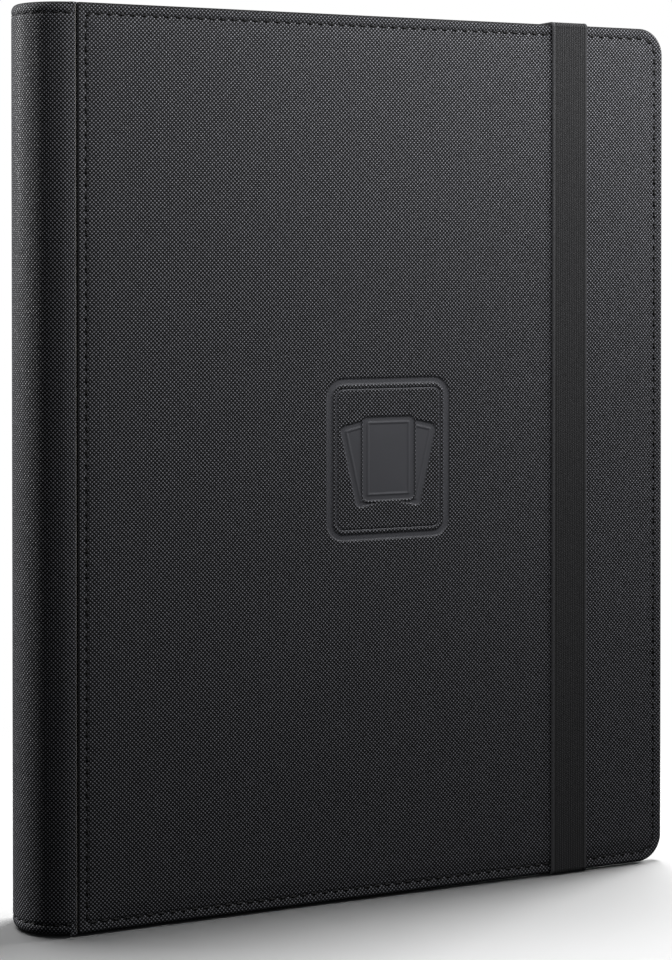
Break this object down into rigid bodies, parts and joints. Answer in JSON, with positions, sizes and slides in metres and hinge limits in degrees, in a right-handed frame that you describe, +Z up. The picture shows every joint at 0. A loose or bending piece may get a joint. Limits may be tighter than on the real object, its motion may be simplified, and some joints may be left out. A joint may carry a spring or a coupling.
{
  "type": "trading card binder",
  "caption": "Padded album with a half-round spine, side-loading pocket pages for trading cards, stitched edges and an elastic strap that holds it shut.",
  "frame": {"origin": "under the middle of the closed binder, on the surface that it stands on", "axes": "+Z up along the spine, +X from the spine towards the fore edge, +Y from the front cover towards the back cover"},
  "size_m": [0.266, 0.038, 0.336],
  "materials": {
    "leatherette": "satin, embossed with a fine diamond texture",
    "foam": "matte open-cell foam",
    "greyboard": "matte pressed board",
    "lining": "matte fine weave",
    "thread": "satin twisted polyester",
    "page_sheet": "matte polypropylene with a fine pebble",
    "pocket_film": "clear glossy film",
    "elastic": "matte ribbed elastic webbing"
  },
  "bodies": {
    "back_cover": {"back_panel_skin": "leatherette", "back_padding": "foam", "back_board": "greyboard", "back_lining": "lining", "back_stitching": "thread", "strap_tails": "elastic"},
    "spine": {"spine_skin": "leatherette", "spine_board": "greyboard", "spine_lining": "lining", "spine_stitching": "thread", "binding_strip": "lining", "binding_stitching": "thread", "page_margins": "page_sheet", "hinge_strips": "lining"},
    "front_cover": {"front_panel_skin": "leatherette", "front_padding": "foam", "front_board": "greyboard", "front_lining": "lining", "front_stitching": "thread"},
    "strap": {"elastic_strap": "elastic"},
    "page_01": {"page_01_sheet": "page_sheet", "page_01_pockets": "pocket_film"},
    "page_02": {"page_02_sheet": "page_sheet", "page_02_pockets": "pocket_film"},
    "page_03": {"page_03_sheet": "page_sheet", "page_03_pockets": "pocket_film"},
    "page_04": {"page_04_sheet": "page_sheet", "page_04_pockets": "pocket_film"},
    "page_05": {"page_05_sheet": "page_sheet", "page_05_pockets": "pocket_film"},
    "page_06": {"page_06_sheet": "page_sheet", "page_06_pockets": "pocket_film"},
    "page_07": {"page_07_sheet": "page_sheet", "page_07_pockets": "pocket_film"},
    "page_08": {"page_08_sheet": "page_sheet", "page_08_pockets": "pocket_film"},
    "page_09": {"page_09_sheet": "page_sheet", "page_09_pockets": "pocket_film"},
    "page_10": {"page_10_sheet": "page_sheet", "page_10_pockets": "pocket_film"},
    "page_11": {"page_11_sheet": "page_sheet", "page_11_pockets": "pocket_film"},
    "page_12": {"page_12_sheet": "page_sheet", "page_12_pockets": "pocket_film"},
    "page_13": {"page_13_sheet": "page_sheet", "page_13_pockets": "pocket_film"},
    "page_14": {"page_14_sheet": "page_sheet", "page_14_pockets": "pocket_film"},
    "page_15": {"page_15_sheet": "page_sheet", "page_15_pockets": "pocket_film"},
    "page_16": {"page_16_sheet": "page_sheet", "page_16_pockets": "pocket_film"},
    "page_17": {"page_17_sheet": "page_sheet", "page_17_pockets": "pocket_film"},
    "page_18": {"page_18_sheet": "page_sheet", "page_18_pockets": "pocket_film"},
    "page_19": {"page_19_sheet": "page_sheet", "page_19_pockets": "pocket_film"},
    "page_20": {"page_20_sheet": "page_sheet", "page_20_pockets": "pocket_film"}
  },
  "joints": [
    {"name": "spine_hinge", "type": "hinge", "parent": "back_cover", "child": "spine", "pos_m": [-0.113, 0.0176, 0.1675], "axis": [0, 0, -1], "range_deg": [0, 90]},
    {"name": "front_cover_hinge", "type": "hinge", "parent": "spine", "child": "front_cover", "pos_m": [-0.113, -0.0176, 0.1675], "axis": [0, 0, -1], "range_deg": [0, 90], "deforming": ["hinge_strips"]},
    {"name": "strap_swing", "type": "hinge", "parent": "back_cover", "child": "strap", "pos_m": [0.089, 0.0005, 0.1675], "axis": [0, 0, -1], "range_deg": [0, 180], "deforming": ["elastic_strap"]},
    {"name": "page_01_turn", "type": "hinge", "parent": "spine", "child": "page_01", "pos_m": [-0.108, -0.01235, 0.1675], "axis": [0, 0, -1], "range_deg": [0, 90]},
    {"name": "page_02_turn", "type": "hinge", "parent": "spine", "child": "page_02", "pos_m": [-0.1067, -0.01105, 0.1675], "axis": [0, 0, -1], "range_deg": [0, 90]},
    {"name": "page_03_turn", "type": "hinge", "parent": "spine", "child": "page_03", "pos_m": [-0.1054, -0.00975, 0.1675], "axis": [0, 0, -1], "range_deg": [0, 90]},
    {"name": "page_04_turn", "type": "hinge", "parent": "spine", "child": "page_04", "pos_m": [-0.1041, -0.00845, 0.1675], "axis": [0, 0, -1], "range_deg": [0, 90]},
    {"name": "page_05_turn", "type": "hinge", "parent": "spine", "child": "page_05", "pos_m": [-0.1028, -0.00715, 0.1675], "axis": [0, 0, -1], "range_deg": [0, 90]},
    {"name": "page_06_turn", "type": "hinge", "parent": "spine", "child": "page_06", "pos_m": [-0.1015, -0.00585, 0.1675], "axis": [0, 0, -1], "range_deg": [0, 90]},
    {"name": "page_07_turn", "type": "hinge", "parent": "spine", "child": "page_07", "pos_m": [-0.1002, -0.00455, 0.1675], "axis": [0, 0, -1], "range_deg": [0, 90]},
    {"name": "page_08_turn", "type": "hinge", "parent": "spine", "child": "page_08", "pos_m": [-0.0989, -0.00325, 0.1675], "axis": [0, 0, -1], "range_deg": [0, 90]},
    {"name": "page_09_turn", "type": "hinge", "parent": "spine", "child": "page_09", "pos_m": [-0.0976, -0.00195, 0.1675], "axis": [0, 0, -1], "range_deg": [0, 90]},
    {"name": "page_10_turn", "type": "hinge", "parent": "spine", "child": "page_10", "pos_m": [-0.0963, -0.00065, 0.1675], "axis": [0, 0, -1], "range_deg": [0, 90]},
    {"name": "page_11_turn", "type": "hinge", "parent": "spine", "child": "page_11", "pos_m": [-0.0963, 0.00065, 0.1675], "axis": [0, 0, 1], "range_deg": [0, 90]},
    {"name": "page_12_turn", "type": "hinge", "parent": "spine", "child": "page_12", "pos_m": [-0.0976, 0.00195, 0.1675], "axis": [0, 0, 1], "range_deg": [0, 90]},
    {"name": "page_13_turn", "type": "hinge", "parent": "spine", "child": "page_13", "pos_m": [-0.0989, 0.00325, 0.1675], "axis": [0, 0, 1], "range_deg": [0, 90]},
    {"name": "page_14_turn", "type": "hinge", "parent": "spine", "child": "page_14", "pos_m": [-0.1002, 0.00455, 0.1675], "axis": [0, 0, 1], "range_deg": [0, 90]},
    {"name": "page_15_turn", "type": "hinge", "parent": "spine", "child": "page_15", "pos_m": [-0.1015, 0.00585, 0.1675], "axis": [0, 0, 1], "range_deg": [0, 90]},
    {"name": "page_16_turn", "type": "hinge", "parent": "spine", "child": "page_16", "pos_m": [-0.1028, 0.00715, 0.1675], "axis": [0, 0, 1], "range_deg": [0, 90]},
    {"name": "page_17_turn", "type": "hinge", "parent": "spine", "child": "page_17", "pos_m": [-0.1041, 0.00845, 0.1675], "axis": [0, 0, 1], "range_deg": [0, 90]},
    {"name": "page_18_turn", "type": "hinge", "parent": "spine", "child": "page_18", "pos_m": [-0.1054, 0.00975, 0.1675], "axis": [0, 0, 1], "range_deg": [0, 90]},
    {"name": "page_19_turn", "type": "hinge", "parent": "spine", "child": "page_19", "pos_m": [-0.1067, 0.01105, 0.1675], "axis": [0, 0, 1], "range_deg": [0, 90]},
    {"name": "page_20_turn", "type": "hinge", "parent": "spine", "child": "page_20", "pos_m": [-0.108, 0.01235, 0.1675], "axis": [0, 0, 1], "range_deg": [0, 90]}
  ],
  "couplings": [
    {"joint": "strap_swing", "follows": "front_cover_hinge", "ratio": 2},
    {"joint": "page_01_turn", "follows": "front_cover_hinge", "ratio": 1},
    {"joint": "page_02_turn", "follows": "front_cover_hinge", "ratio": 1},
    {"joint": "page_03_turn", "follows": "front_cover_hinge", "ratio": 1},
    {"joint": "page_04_turn", "follows": "front_cover_hinge", "ratio": 1},
    {"joint": "page_05_turn", "follows": "front_cover_hinge", "ratio": 1},
    {"joint": "page_06_turn", "follows": "front_cover_hinge", "ratio": 1},
    {"joint": "page_07_turn", "follows": "front_cover_hinge", "ratio": 1},
    {"joint": "page_08_turn", "follows": "front_cover_hinge", "ratio": 1},
    {"joint": "page_09_turn", "follows": "front_cover_hinge", "ratio": 1},
    {"joint": "page_10_turn", "follows": "front_cover_hinge", "ratio": 1},
    {"joint": "page_11_turn", "follows": "spine_hinge", "ratio": 1},
    {"joint": "page_12_turn", "follows": "spine_hinge", "ratio": 1},
    {"joint": "page_13_turn", "follows": "spine_hinge", "ratio": 1},
    {"joint": "page_14_turn", "follows": "spine_hinge", "ratio": 1},
    {"joint": "page_15_turn", "follows": "spine_hinge", "ratio": 1},
    {"joint": "page_16_turn", "follows": "spine_hinge", "ratio": 1},
    {"joint": "page_17_turn", "follows": "spine_hinge", "ratio": 1},
    {"joint": "page_18_turn", "follows": "spine_hinge", "ratio": 1},
    {"joint": "page_19_turn", "follows": "spine_hinge", "ratio": 1},
    {"joint": "page_20_turn", "follows": "spine_hinge", "ratio": 1}
  ]
}
